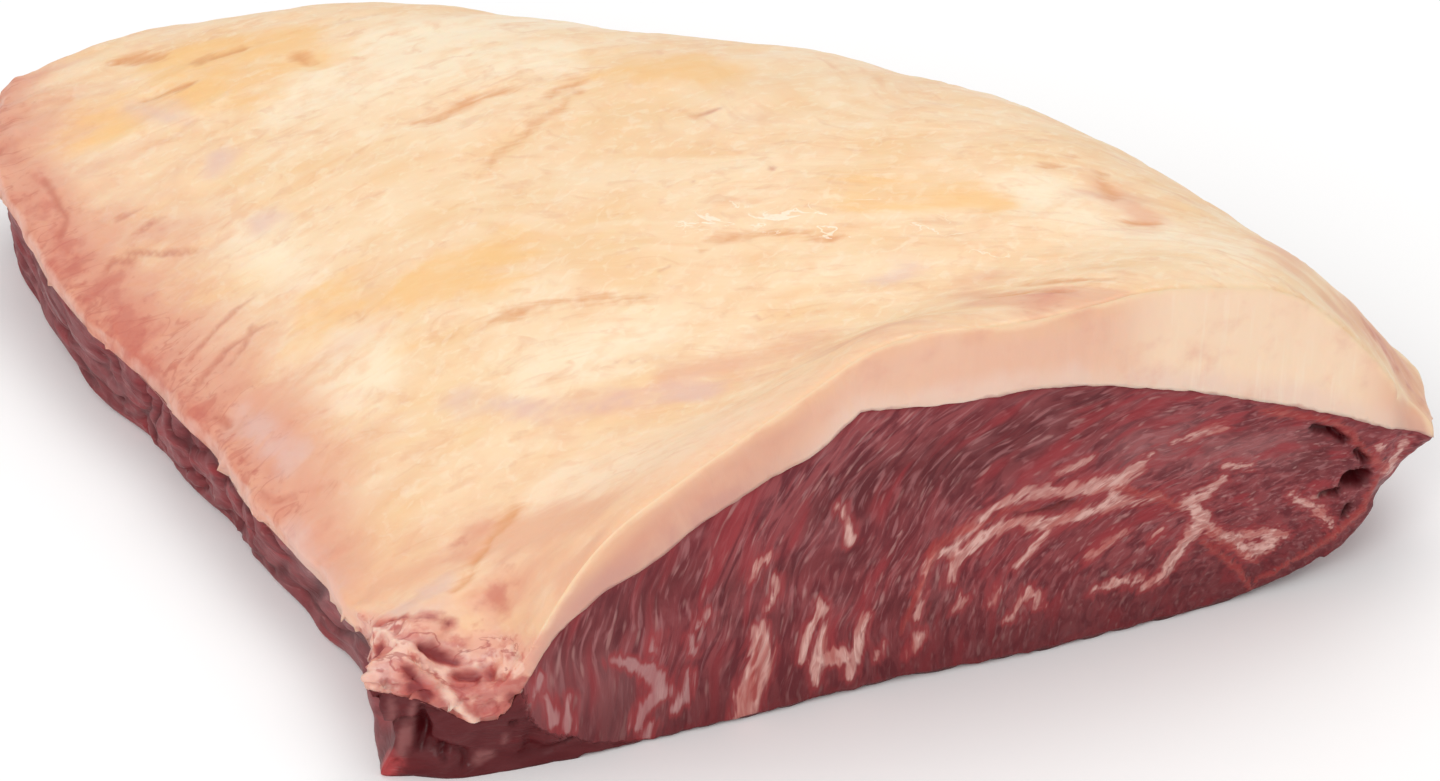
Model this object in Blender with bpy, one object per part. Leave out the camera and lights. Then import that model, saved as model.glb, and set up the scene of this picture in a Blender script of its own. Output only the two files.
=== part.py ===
"""A raw beef roast in one boneless piece: lean muscle under a thick fat cap.

It lies on its flat underside. The front is one knife cut, which shows the lean and the
band of fat above it. The left side is a low wall of trimmed muscle, torn and lumpy. To
the right and at the back the fat cap slopes down to a thin rim, and the lean tucks under.

Two solids, lean and fat_cap, meet along the seam between muscle and fat. Each starts as
a block cut into a grid, where s is the share across it from left to right, t the share
from the cut to the back, and z the height. The block's sides become the roast's sides.
Metres, +Z up. The origin is under the middle of the roast, on the surface it lies on.
"""

import math

import bmesh
import bpy
from mathutils import Matrix, Vector, noise

MM = 0.001
COLLECTION = "raw_beef_roast"
SEAM_GAP = 0.3

# The plan in mm from the near left corner, X along the cut and Y to the back. The points
# of an edge stand at equal steps of its share.
CUT_EDGE = [(-1, -2), (30, -11), (62, -10), (94, -9), (126, -7), (158, -7), (190, -5), (222, -2), (250, 0),
            (277, 3)]
LEFT_EDGE = [(-1, -2), (4, 28), (-2, 62), (-11, 100), (-19, 140), (-31, 180), (-38, 220), (-40, 258),
             (-33, 290)]
BACK_EDGE = [(-33, 290), (0, 299), (32, 297), (66, 291), (98, 279), (126, 262), (149, 245), (172, 226)]
RIGHT_EDGE = [(277, 3), (283, 30), (273, 61), (261, 94), (248, 126), (234, 155), (217, 181), (196, 205),
              (172, 226)]

# Heights over the table in mm at a distance in mm along the cut
CUT_TOP = [(0, 31), (12, 37), (22, 39), (33, 42), (45, 52), (57, 64), (70, 72), (96, 86), (108, 92),
           (120, 99), (133, 101), (153, 99), (173, 99), (192, 100), (220, 94), (231, 90), (240, 83),
           (253, 69), (265, 54), (277, 42)]
CUT_SEAM = [(0, 25), (12, 23), (19, 20), (24, 16), (33, 20), (38, 33), (45, 40), (59, 50), (68, 52),
            (77, 60), (89, 66), (97, 71), (107, 72), (115, 82), (136, 80), (165, 79), (180, 76), (208, 67),
            (237, 55), (260, 44), (277, 35)]
CUT_BOTTOM = [(0, 0), (216, 0), (235, 3), (246, 6), (252, 9), (257, 13), (263, 20), (268, 24), (277, 31)]

# Heights in mm at a share of the way along the middle of the roast and its three rims
CROWN = [(0, 26), (0.1, 41), (0.25, 62), (0.45, 81), (0.62, 90), (0.75, 90), (0.84, 81), (0.9, 67.5),
         (0.95, 53), (1, 43)]
LEFT_RIM = [(0, 31), (0.12, 27), (0.25, 26), (0.4, 28), (0.6, 26), (0.72, 27), (0.88, 36), (1, 41)]
BACK_RIM = [(0, 41), (0.1, 45), (0.25, 48), (0.4, 49), (0.55, 42), (0.7, 29), (1, 31)]
RIGHT_RIM = [(0, 43), (0.06, 48), (0.15, 42), (0.3, 43), (0.6, 41), (1, 32)]

CUT_FADE = 0.16          # share of the depth over which the cut's line gives way to the crown
BACK_FALL = (0.3, 1.5)   # where the fall to the back rim starts, and how round it is
SCOOP = (25, -10, 22, 24, 14)   # x, y, half width, half length and depth of the near corner's hollow
TUCK_BACK = (0.86, 1.8, 0.7)   # where the lean tucks under, how round, and to what share of the seam

# The fat cap's thickness in mm, and the shares over which it grows from the left, falls to
# the right, gives way to the cut's own band, and thins towards the back
FAT_EDGE = 5
FAT_RIM = 7
FAT_CROWN = 19
FAT_GROWS = (0, 0.4)
FAT_FALLS = (0.75, 1)
FAT_AT_CUT = 0.25
FAT_THINS = (0.6, 2)

# Shares of the plan that count as the left wall, the cut face and the rims
LEFT_BAND = 0.07
CUT_BAND = 0.06
RIM_BAND = 0.93
# Fades in mm: round the near corner from its middle, back from it, and along the cut
CORNER_MIDDLE = (15, -5)
CORNER_FADE = (20, 75)
WAIST_FADE = (8, 24)
TORN_FADE = (30, 40)

# Relief in mm: the height of the lumps and their size
LUMPS_TOP = (1.3, 60)
LUMPS_SEAM = (1.0, 16)
FOLDS_CORNER = (1.8, 16)
LUMPS_WALL = (3.5, 24)
KNOTS_WALL = (1.8, 10)
LUMPS_TORN = (2.0, 11)
RIM_ROUNDING = 4
FOOT_ROUNDING = 3
CORNER_WAIST = 6
WAIST_HEIGHT = (0.4, 0.3)   # its middle and half height, as shares of the wall
# Grooves down the cut face beside its two end lobes: x at the table, slant, width and depth
GROOVES = [(38, 0, 4, 3), (262, 0.2, 4, 2)]

# The grid of each solid: pieces across and back, how far they crowd towards the ends, rows
# up, and the angle in degrees from which an edge shows as sharp
GRID = (36, 32)
CROWDING = (0.45, 0.35)
LEAN_ROWS = 6
FAT_ROWS = 3
SHARP_EDGE = 40

LEAN_COLOUR = (0.19, 0.042, 0.048, 1)
FAT_COLOUR = (0.88, 0.66, 0.42, 1)


def along(points, place):
    """The value at a place along a smooth curve through (place, value) points."""
    last = len(points) - 2
    i = next((k for k in range(last) if place < points[k + 1][0]), last)
    (x0, y0), (x1, y1) = points[i], points[i + 1]
    before = points[max(i - 1, 0)]
    after = points[min(i + 2, len(points) - 1)]
    slope0 = (y1 - before[1]) / (x1 - before[0])
    slope1 = (after[1] - y0) / (after[0] - x0)
    t = (place - x0) / (x1 - x0)
    rise = (2 * t**3 - 3 * t**2 + 1) * y0 + (3 * t**2 - 2 * t**3) * y1
    return rise + (x1 - x0) * (slope0 * (t**3 - 2 * t**2 + t) + slope1 * (t**3 - t**2))


def edge_point(edge, share):
    """A point of a plan edge, at a share of the way along it."""
    step = 1 / (len(edge) - 1)
    return Vector([along([(i * step, p[k]) for i, p in enumerate(edge)], share) for k in (0, 1)])


def plan_point(s, t):
    """The plan position between the four edges at share s across and share t back."""
    front, back = edge_point(CUT_EDGE, s), edge_point(BACK_EDGE, s)
    left, right = edge_point(LEFT_EDGE, t), edge_point(RIGHT_EDGE, t)
    corners = [Vector(p) for p in (CUT_EDGE[0], CUT_EDGE[-1], BACK_EDGE[0], BACK_EDGE[-1])]
    bilinear = (1 - t) * ((1 - s) * corners[0] + s * corners[1]) + t * ((1 - s) * corners[2] + s * corners[3])
    return (1 - t) * front + t * back + (1 - s) * left + s * right - bilinear


def smooth_step(low, high, x):
    """0 up to low, 1 from high on, and a smooth rise between."""
    t = min(max((x - low) / (high - low), 0), 1)
    return t * t * (3 - 2 * t)


def mix(a, b, share):
    return (1 - share) * a + share * b


def shoulder(x, start, power):
    """1 until start, then a rounded fall to 0 at x = 1."""
    if x <= start:
        return 1
    return max(0, 1 - ((x - start) / (1 - start)) ** power) ** (1 / power)


def lumps(a, b, relief, seed):
    """Smooth lumps of the given (height, size) over two coordinates in mm."""
    height, size = relief
    return height * noise.noise(Vector((a / size, b / size, seed)))


def scoop(x, y):
    """The hollow where the fat cap drops to the near left corner."""
    middle_x, middle_y, width, length, depth = SCOOP
    reach = math.hypot((x - middle_x) / width, (y - middle_y) / length)
    return depth * (1 - smooth_step(0.3, 1.05, reach))


def near_corner(x, y):
    """1 at the near left corner, fading to 0 away from it."""
    away = math.hypot(x - CORNER_MIDDLE[0], y - CORNER_MIDDLE[1])
    return 1 - smooth_step(*CORNER_FADE, away)


def top_height(s, t):
    """The top of the fat cap."""
    x, y = plan_point(s, t)
    inside = along(CROWN, s)
    inside += (along(LEFT_RIM, t) - CROWN[0][1]) * (1 - s) ** 3
    inside += (along(RIGHT_RIM, t) - CROWN[-1][1]) * s**3
    level = mix(along(CUT_TOP, edge_point(CUT_EDGE, s).x), inside, smooth_step(0, CUT_FADE, t))
    back = along(BACK_RIM, s)
    height = back + (level - back) * shoulder(t, *BACK_FALL) - scoop(x, y)
    relief = lumps(x, y, LUMPS_TOP, 1) * smooth_step(0, 0.1, t)
    return height + relief + lumps(x, y, FOLDS_CORNER, 2) * near_corner(x, y)


def fat_thickness(s, t):
    """The thickness of the fat cap, thickest along its crown."""
    x, y = plan_point(s, t)
    cut_x, cut_y = edge_point(CUT_EDGE, s)
    at_cut = along(CUT_TOP, cut_x) - scoop(cut_x, cut_y) - along(CUT_SEAM, cut_x)
    crown = smooth_step(*FAT_GROWS, s) - smooth_step(*FAT_FALLS, s)
    level = mix(at_cut, mix(FAT_EDGE, FAT_CROWN, crown), smooth_step(0, FAT_AT_CUT, t))
    level = mix(FAT_RIM, level, shoulder(t, *FAT_THINS))
    return max(FAT_EDGE, level + lumps(x, y, LUMPS_SEAM, 3))


def seam_height(s, t):
    """The top of the lean."""
    return top_height(s, t) - fat_thickness(s, t)


def fat_underside(s, t):
    return seam_height(s, t) + SEAM_GAP


def bottom_height(s, t):
    """The underside: flat, but tucked up towards the rims at the right and the back."""
    x = edge_point(CUT_EDGE, s).x
    right = along(CUT_BOTTOM, x) / along(CUT_SEAM, x) if x > CUT_BOTTOM[1][0] else 0
    start, power, share = TUCK_BACK
    back = share * (1 - shoulder(t, start, power))
    return seam_height(s, t) * max(right, back)


def side_shift(s, t, z):
    """How far a side stands out of its plan edge or in from it at height z."""
    x, y = plan_point(s, t)
    low, high = bottom_height(s, t), top_height(s, t)
    up = (z - low) / (high - low)
    left = 1 - smooth_step(0, LEFT_BAND, s)
    cut = 1 - smooth_step(0, CUT_BAND, t)
    rim = max(smooth_step(RIM_BAND, 1, s), smooth_step(RIM_BAND, 1, t))
    at_corner = 1 - smooth_step(*WAIST_FADE, y)
    waist, half_height = WAIST_HEIGHT
    wall = lumps(y, z, LUMPS_WALL, 4) + lumps(y, z, KNOTS_WALL, 5)
    wall += (1 - at_corner) * FOOT_ROUNDING * (1 - up) ** 2
    wall += at_corner * CORNER_WAIST * math.exp(-(((up - waist) / half_height) ** 2))
    torn = lumps(x, z, LUMPS_TORN, 6) * (1 - smooth_step(*TORN_FADE, x))
    grooves = sum(depth * math.exp(-(((x - place - slant * z) / width) ** 2))
                  for place, slant, width, depth in GROOVES)
    inwards = (plan_point(0.5, 0.5) - Vector((x, y))).normalized()
    return Vector((left * wall, cut * (torn + grooves))) + inwards * rim * RIM_ROUNDING * (2 * up - 1) ** 2


def spread(share, ends):
    """Draws evenly spaced shares towards 0 and 1, where the relief is finer."""
    return share - ends * math.sin(2 * math.pi * share) / (2 * math.pi)


def block(across, back, up):
    """A unit cube with each side cut into a grid of quads."""
    bm = bmesh.new()
    bmesh.ops.create_cube(bm, size=1)
    for axis, pieces in enumerate((across, back, up)):
        parallel = [e for e in bm.edges if abs(e.verts[0].co[axis] - e.verts[1].co[axis]) > 0.9]
        bmesh.ops.subdivide_edges(bm, edges=parallel, cuts=pieces - 1, use_grid_fill=True)
    return bm


def layer(name, floor, ceiling, rows_up, colour, roughness):
    """One solid between a floor and a ceiling, each a height at shares s and t."""
    bm = block(*GRID, rows_up)
    for v in bm.verts:
        s = spread(v.co.x + 0.5, CROWDING[0])
        t = spread(v.co.y + 0.5, CROWDING[1])
        z = mix(floor(s, t), ceiling(s, t), v.co.z + 0.5)
        x, y = plan_point(s, t) + side_shift(s, t, z)
        v.co = Vector((x, y, z)) * MM
    resting = [f for f in bm.faces if all(v.co.z < 0.001 * MM for v in f.verts)]
    bmesh.ops.dissolve_faces(bm, faces=resting)
    bmesh.ops.triangulate(bm, faces=bm.faces, quad_method="SHORT_EDGE")
    mesh = bpy.data.meshes.new(name)
    bm.to_mesh(mesh)
    bm.free()
    mesh.shade_smooth()
    mesh.set_sharp_from_angle(angle=math.radians(SHARP_EDGE))
    mesh.materials.append(plain_material(name, colour, roughness))
    return bpy.data.objects.new(name, mesh)


def plain_material(name, colour, roughness):
    material = bpy.data.materials.new(name)
    material.use_nodes = True
    shader = material.node_tree.nodes["Principled BSDF"]
    shader.inputs["Base Color"].default_value = colour
    shader.inputs["Roughness"].default_value = roughness
    shader.inputs["Metallic"].default_value = 0
    return material


def centre_plan(pieces):
    """Moves the pieces so that the middle of their box is over the origin."""
    points = [v.co for piece in pieces for v in piece.data.vertices]
    middle = [(min(p[k] for p in points) + max(p[k] for p in points)) / 2 for k in (0, 1)]
    for piece in pieces:
        piece.data.transform(Matrix.Translation((-middle[0], -middle[1], 0)))


def build():
    for old in list(bpy.data.objects):
        bpy.data.objects.remove(old)
    lean = layer("lean", bottom_height, seam_height, LEAN_ROWS, LEAN_COLOUR, 0.35)
    fat_cap = layer("fat_cap", fat_underside, top_height, FAT_ROWS, FAT_COLOUR, 0.4)
    centre_plan([lean, fat_cap])
    roast = bpy.data.collections.new(COLLECTION)
    bpy.context.scene.collection.children.link(roast)
    roast.objects.link(lean)
    roast.objects.link(fat_cap)


build()
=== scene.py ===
import math

import bmesh
import bpy
import numpy as np
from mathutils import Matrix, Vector, kdtree, noise
from mathutils.bvhtree import BVHTree


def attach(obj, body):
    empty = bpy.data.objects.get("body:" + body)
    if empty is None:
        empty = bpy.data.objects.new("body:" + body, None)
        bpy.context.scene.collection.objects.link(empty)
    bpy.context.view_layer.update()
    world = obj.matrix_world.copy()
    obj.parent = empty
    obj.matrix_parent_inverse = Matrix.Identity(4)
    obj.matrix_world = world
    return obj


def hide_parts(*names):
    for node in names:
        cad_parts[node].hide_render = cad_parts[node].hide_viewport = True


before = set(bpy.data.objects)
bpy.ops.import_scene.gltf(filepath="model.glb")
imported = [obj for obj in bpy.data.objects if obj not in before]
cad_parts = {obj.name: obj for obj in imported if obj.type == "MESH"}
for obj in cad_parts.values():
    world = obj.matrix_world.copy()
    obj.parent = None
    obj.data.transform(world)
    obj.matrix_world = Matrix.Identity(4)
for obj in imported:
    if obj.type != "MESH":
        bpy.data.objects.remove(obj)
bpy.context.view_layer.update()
print("frame loaded:", sorted(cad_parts))

mm = 0.001
touching = 0.01 * mm  # points nearer than this are at one place, and heights below it are on the table
sharpRim = math.radians(55)  # edges that turn by more than this are shaded sharp
# Places are in mm from the near left corner of the roast: x along the knife cut, y to the back, z up
nearCorner = np.array([-120.4, -144.2, 0.0])


def hexColour(code):  # sRGB hex to linear
    channels = [int(code[i:i + 2], 16) / 255 for i in (1, 3, 5)]
    return [c / 12.92 if c <= 0.04045 else ((c + 0.055) / 1.055) ** 2.4 for c in channels] + [1.0]


def addNode(tree, kind, inputs=None, out=None, **settings):  # adds a node, returns one of its outputs
    node = tree.nodes.new("ShaderNode" + kind)
    for name, value in settings.items():
        setattr(node, name, value)
    for name, value in (inputs or {}).items():
        numbered = isinstance(name, int)
        named = [s for s in node.inputs if s.enabled and s.name == name]
        socket = node.inputs[name] if numbered else named[0]
        if isinstance(value, bpy.types.NodeSocket):
            tree.links.new(value, socket)
        else:
            socket.default_value = hexColour(value) if isinstance(value, str) else value
    return next(s for s in node.outputs if s.enabled and (out is None or s.name == out))


def newMaterial(name):
    material = bpy.data.materials.new(name)
    material.use_nodes = True
    return material, material.node_tree, material.node_tree.nodes["Principled BSDF"]


def readValues(tree, names):  # the values that keepValues and markCut laid on the piece, by name
    return {name: addNode(tree, "Attribute", out="Fac", attribute_name=name) for name in names}


def pattern(tree, space, size, detail=2.0, away=0.0, distortion=0.0):  # noise with lumps of that size in mm
    place = {"Vector": space, "Scale": [s * mm for s in size], "Location": [away * mm] * 3}
    space = addNode(tree, "Mapping", place, vector_type="TEXTURE")
    return addNode(tree, "TexNoise", {"Vector": space, "Scale": 1.0, "Detail": detail,
                                      "Distortion": distortion}, out="Fac")


def paint(tree, colour, layers):  # lays tints over each other, each where its value runs from low to high
    for value, low, high, most, tint in layers:
        span = {"Value": value, "From Min": low, "From Max": high, "To Max": most}
        share = addNode(tree, "MapRange", span, interpolation_type="SMOOTHSTEP")
        colour = addNode(tree, "Mix", {"Factor": share, "A": colour, "B": tint}, data_type="RGBA")
    return colour


def sway(tree, value, noise, reach):  # a value made ragged by noise, by up to about reach either way
    noise = addNode(tree, "MapRange", {"Value": noise, "From Min": 0.25, "From Max": 0.75, "To Min": -reach,
                                       "To Max": reach})
    return addNode(tree, "Math", {0: value, 1: noise}, operation="ADD")


def thinLines(tree, noise, mask, width):  # above 0 along the winding lines where the noise is midway
    away = addNode(tree, "Math", {0: noise, 1: 0.5}, operation="SUBTRACT")
    away = addNode(tree, "Math", {0: away}, operation="ABSOLUTE")
    mask = addNode(tree, "Math", {0: mask, 1: width}, operation="MULTIPLY")
    return addNode(tree, "Math", {0: mask, 1: away}, operation="SUBTRACT")


def smoothStep(low, high, values):
    share = np.clip((values - low) / (high - low), 0, 1)
    return share * share * (3 - 2 * share)


def lumps(places, size, seed, octaves=1):  # smooth noise from about -1 to 1, lumps of that size in mm
    return np.array([noise.fractal(p, 1.0, 2.0, octaves) for p in (places / size + seed).tolist()])


def furrows(places, size, seed, width):  # 1 along the lines where lumps part, 0 away from them
    return np.exp(-(lumps(places, size, seed) / width) ** 2)


camera = {
    "place": (-0.29888, -0.93704, 0.63322),
    "looks": (0.2661, 0.7953, -0.5446),
    "lens": 107.5,
}
studio = {
    "skyColour": "#ffffff",
    "sky": 0.66,
    # place, aim, size and power of each soft box
    "boxes": [((0.25, 0.35, 1.3), (0, 0, 0.05), 1.0, 5.5), ((-0.9, -1.1, 1.0), (0, 0, 0.05), 0.8, 9)],
    "floorColour": "#ffffff",
    "floorSize": 12,
}


def addCamera():
    data = bpy.data.cameras.new("viewCamera")
    data.lens = camera["lens"]
    data.sensor_width = 36
    data.clip_start = 0.01
    view = bpy.data.objects.new("viewCamera", data)
    view.location = camera["place"]
    view.rotation_euler = Vector(camera["looks"]).to_track_quat("-Z", "Y").to_euler()
    bpy.context.scene.collection.objects.link(view)
    bpy.context.scene.camera = view


def addStudio():
    world = bpy.data.worlds.new("studioSky")
    world.use_nodes = True
    sky = world.node_tree.nodes["Background"]
    sky.inputs["Color"].default_value = hexColour(studio["skyColour"])
    sky.inputs["Strength"].default_value = studio["sky"]
    bpy.context.scene.world = world
    for i, (place, aim, size, power) in enumerate(studio["boxes"]):
        data = bpy.data.lights.new(f"softBox{i}", "AREA")
        data.size = size
        data.energy = power
        box = bpy.data.objects.new(data.name, data)
        box.location = place
        box.rotation_euler = (Vector(aim) - Vector(place)).to_track_quat("-Z", "Y").to_euler()
        bpy.context.scene.collection.objects.link(box)
    bpy.context.scene.view_settings.view_transform = "Standard"


def addFloor():
    bm = bmesh.new()
    bmesh.ops.create_grid(bm, x_segments=1, y_segments=1, size=studio["floorSize"] / 2)
    mesh = bpy.data.meshes.new("paleFloor")
    bm.to_mesh(mesh)
    bm.free()
    floor = bpy.data.objects.new("paleFloor", mesh)
    material, _, shader = newMaterial("mattPaper")
    shader.inputs["Base Color"].default_value = hexColour(studio["floorColour"])
    shader.inputs["Roughness"].default_value = 0.9
    mesh.materials.append(material)
    bpy.context.scene.collection.objects.link(floor)


addCamera()
addStudio()
addFloor()
print("camera, light and floor ready")


def quadCopy(node, cutStarts):  # the node's mesh as quads again, its knife-cut faces marked
    bm = bmesh.new()
    bm.from_mesh(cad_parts[node].data)
    bmesh.ops.remove_doubles(bm, verts=bm.verts, dist=touching)
    bmesh.ops.join_triangles(bm, faces=bm.faces, angle_face_threshold=math.radians(60),
                             angle_shape_threshold=math.radians(70))
    bm.normal_update()
    cutDepth = 9  # the knife cut isn't quite flat and stays in front of this y
    cutBack, cutLeft = (nearCorner[1] + cutDepth) * mm, (nearCorner[0] + cutStarts) * mm
    for face in bm.faces:
        face.smooth = True
        middle = face.calc_center_median()
        face.material_index = int(face.normal.y < -0.55 and middle.y < cutBack and middle.x > cutLeft)
    return bm


def evenUnderside(bm):  # gives the one flat face that rests on the table a net of its own
    longest = 11 * mm
    for _ in range(3):
        long = [e for e in bm.edges if e.calc_length() > longest and
                all(v.co.z < touching for f in e.link_faces for v in f.verts)]
        if not long:
            break
        bmesh.ops.subdivide_edges(bm, edges=long, cuts=1)
        flat = [f for f in bm.faces if all(v.co.z < touching for v in f.verts)]
        flat = bmesh.ops.triangulate(bm, faces=flat, quad_method="BEAUTY", ngon_method="BEAUTY")["faces"]
        inner = [v for v in bm.verts if v.co.z < touching and
                 all(w.co.z < touching for f in v.link_faces for w in f.verts)]
        bmesh.ops.beautify_fill(bm, faces=flat, edges=list(dict.fromkeys(e for f in flat for e in f.edges)))
        for _ in range(4):
            bmesh.ops.smooth_vert(bm, verts=inner, factor=0.5, use_axis_x=True, use_axis_y=True)


def keepEdges(bm, softRim, seamSide):  # the knife cut and the seam stay sharp, the outer rim gets round
    crease = bm.edges.layers.float.new("crease_edge")
    for edge in bm.edges:
        if len(edge.link_faces) != 2:
            continue
        angle = math.degrees(edge.calc_face_angle(0))
        sharp = min(max((angle - 30) / 30, 0), 1)
        cut = [f.material_index for f in edge.link_faces]
        onSeam = sum(cut) == 1 and edge.link_faces[cut.index(0)].normal.z * seamSide > 0.2
        edge[crease] = 1 if onSeam else sharp * (0.9 if any(cut) or not softRim(edge) else 0)


def subdivided(bm, name, levels):
    mesh = bpy.data.meshes.new(name)
    bm.to_mesh(mesh)
    bm.free()
    piece = bpy.data.objects.new(name, mesh)
    bpy.context.scene.collection.objects.link(piece)
    modifier = piece.modifiers.new("smooth", "SUBSURF")
    modifier.levels = modifier.render_levels = levels
    shown = piece.evaluated_get(bpy.context.evaluated_depsgraph_get())
    piece.data = bpy.data.meshes.new_from_object(shown)
    piece.modifiers.clear()
    return piece


def refine(piece, wanted, longest):  # splits edges of the wanted faces until they are that short, in mm
    bm = bmesh.new()
    bm.from_mesh(piece.data)
    for _ in range(4):
        bm.normal_update()
        long = [e for f in bm.faces if wanted(f) for e in f.edges if e.calc_length() > longest * mm]
        if not long:
            break
        # each edge once, in an order that is the same each run, which a set's isn't
        bmesh.ops.subdivide_edges(bm, edges=list(dict.fromkeys(long)), cuts=1, use_grid_fill=True)
    bm.to_mesh(piece.data)
    bm.free()


def placeOf(point):  # a mesh point in mm from the near left corner
    return np.array(point) / mm - nearCorner


def readMesh(piece):  # places in mm, normals, and 1 for points on the knife cut and for points off it
    mesh = piece.data
    count = len(mesh.vertices)
    points = np.empty(count * 3)
    mesh.vertices.foreach_get("co", points)
    normals = np.empty(count * 3)
    mesh.vertex_normals.foreach_get("vector", normals)
    cut = np.zeros(count)
    outer = np.zeros(count)
    for face in mesh.polygons:
        (cut if face.material_index else outer)[list(face.vertices)] = 1
    return points.reshape(-1, 3) / mm - nearCorner, normals.reshape(-1, 3), cut, outer


def movePoints(piece, places):
    piece.data.vertices.foreach_set("co", ((places + nearCorner) * mm).ravel())
    piece.data.update()


def keepValues(piece, kept):  # one value or vector a point under each name, for the materials to read
    for name, values in kept.items():
        kind, entry = ("FLOAT_VECTOR", "vector") if values.ndim == 2 else ("FLOAT", "value")
        attribute = piece.data.attributes.new(name, kind, "POINT")
        attribute.data.foreach_set(entry, values.astype(np.float32).ravel())


def shadeSkin(piece):
    piece.data.shade_smooth()
    piece.data.set_sharp_from_angle(angle=sharpRim)


def markCut(piece):  # 1 on the faces of the knife cut, with a crisp border
    mesh = piece.data
    marks = np.empty(len(mesh.polygons), np.int32)
    mesh.polygons.foreach_get("material_index", marks)
    mesh.attributes.new("knifeCut", "FLOAT", "FACE").data.foreach_set("value", marks.astype(np.float32))
    mesh.polygons.foreach_set("material_index", np.zeros(len(marks), np.int32))


def strokeDistance(points, strokes):  # mm from the edge of the nearest stroke, negative inside
    nearest = np.full(len(points), 99.0)
    for stroke in strokes:
        for start, end in zip(stroke, stroke[1:] or stroke):
            start, end = np.array(start, float), np.array(end, float)
            run = end[:-1] - start[:-1]
            share = np.clip((points - start[:-1]) @ run / max(run @ run, 0.01), 0, 1)
            away = np.linalg.norm(points - start[:-1] - share[:, None] * run, axis=1)
            nearest = np.minimum(nearest, away - start[-1] - (end[-1] - start[-1]) * share)
    return nearest


def distanceTo(places, marked):  # mm to the nearest marked point
    tree = kdtree.KDTree(int(marked.sum()))
    for i, place in enumerate(places[marked > 0]):
        tree.insert(place, i)
    tree.balance()
    return np.array([tree.find(p)[2] for p in places.tolist()])


lean = {
    "cutStarts": -99,  # every face of the front counts as knife-cut, however far left
    "cutNet": 1.15,  # the longest edges on the cut and on the left wall
    "wallNet": 1.7,
    "grainCentre": (246, -18),  # the fibres on the cut face run in flattened arcs round this x, z
    "grainFlatness": 0.54,
    "grainRadius": 120,
    # the left and lower border of the clean cut, as heights and the x of the border there
    "borderHeights": [0, 1, 4, 8, 15, 22],
    "borderPlaces": [70, 62, 51, 43, 36, 34],
    "fibreRelief": 0.38,
    "bundleRelief": 0.4,
    "marblingRise": 0.25,
    "strandRise": 0.45,
    "ridgeRelief": 1.1,
    "wallRelief": 1.7,
    "wallFurrow": 1.6,
    "tendonRise": 0.7,
    "redTip": [(0, -3, 0, 2.0), (3, -3, 4, 2.0)],
    "cavityDepth": 1.3,
    "gapDepth": 2.0,
    # areas of darker and lighter meat on the cut face, as strokes of (x, z, half width); the last two dark
    # strokes are painted shade in faint cracks
    "darkAreas": [[(112, 56, 6), (138, 62, 8), (178, 68, 6)], [(44, 30, 4), (60, 40, 5), (75, 46, 6)],
                  [(243, 40, 7)], [(84, 40, 2), (118, 42, 2)], [(110, 32, 2), (140, 20, 4)],
                  [(80, 33, 1), (103, 27, 1)], [(103, 43, 1), (131, 36, 1)]],
    "lightAreas": [[(190, 56, 2), (235, 44, 2)], [(39, 22, 4), (43, 6, 5)], [(55, 18, 5), (62, 8, 5)]],
}
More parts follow.
